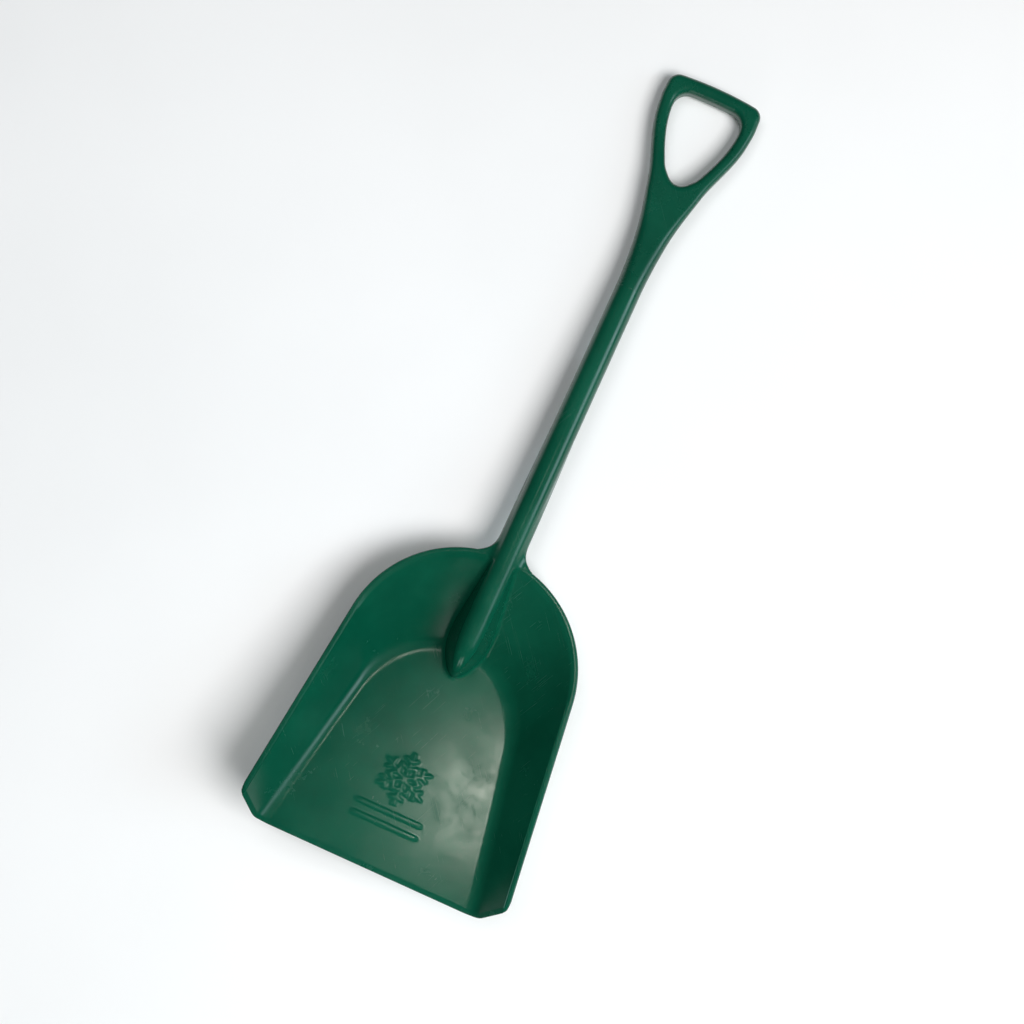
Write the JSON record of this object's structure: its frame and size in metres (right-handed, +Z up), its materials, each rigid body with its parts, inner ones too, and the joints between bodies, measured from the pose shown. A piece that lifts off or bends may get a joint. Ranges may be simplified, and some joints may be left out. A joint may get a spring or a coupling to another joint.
{
  "type": "snow scoop shovel",
  "caption": "Deep plastic snow scoop with a rounded pan, a hooded nose where the round shaft meets the floor, and a flared D-grip.",
  "frame": {"origin": "on the ground under the middle of the shovel, which lies face up on its heel and its grip", "axes": "+X to the shovel's right seen from above with the grip away, +Y from the lip towards the grip, +Z up"},
  "size_m": [0.3566, 1.0681, 0.1155],
  "materials": {
    "pan_plastic": "moulded satin, scuffed floor",
    "shaft_plastic": "moulded gloss",
    "grip_plastic": "moulded satin",
    "plug_plastic": "moulded satin"
  },
  "bodies": {
    "root": {"scoop_pan": "pan_plastic", "shaft": "shaft_plastic", "d_grip": "grip_plastic", "gas_port_plug": "plug_plastic"}
  },
  "joints": []
}
